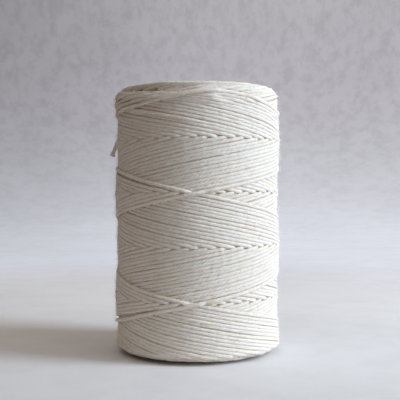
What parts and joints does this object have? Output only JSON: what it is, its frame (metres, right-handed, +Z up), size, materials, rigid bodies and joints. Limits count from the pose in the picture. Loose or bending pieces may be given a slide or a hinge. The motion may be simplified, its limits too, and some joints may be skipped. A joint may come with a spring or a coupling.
{
  "type": "spool of wound thread",
  "caption": "Upright cylindrical package of natural cotton thread, cross-wound on a cardboard tube, with a short loose end at its side.",
  "frame": {"origin": "centre of the lower end face, which the package stands on", "axes": "+Z up along the tube; -Y is the front of the picture, and the loose end hangs at -X"},
  "size_m": [0.0683, 0.0652, 0.1045],
  "materials": {
    "thread": "matte",
    "cardboard": "matte"
  },
  "bodies": {
    "root": {"core_tube": "cardboard", "inner_winding": "thread", "outer_winding": "thread", "loose_end": "thread"}
  },
  "joints": []
}
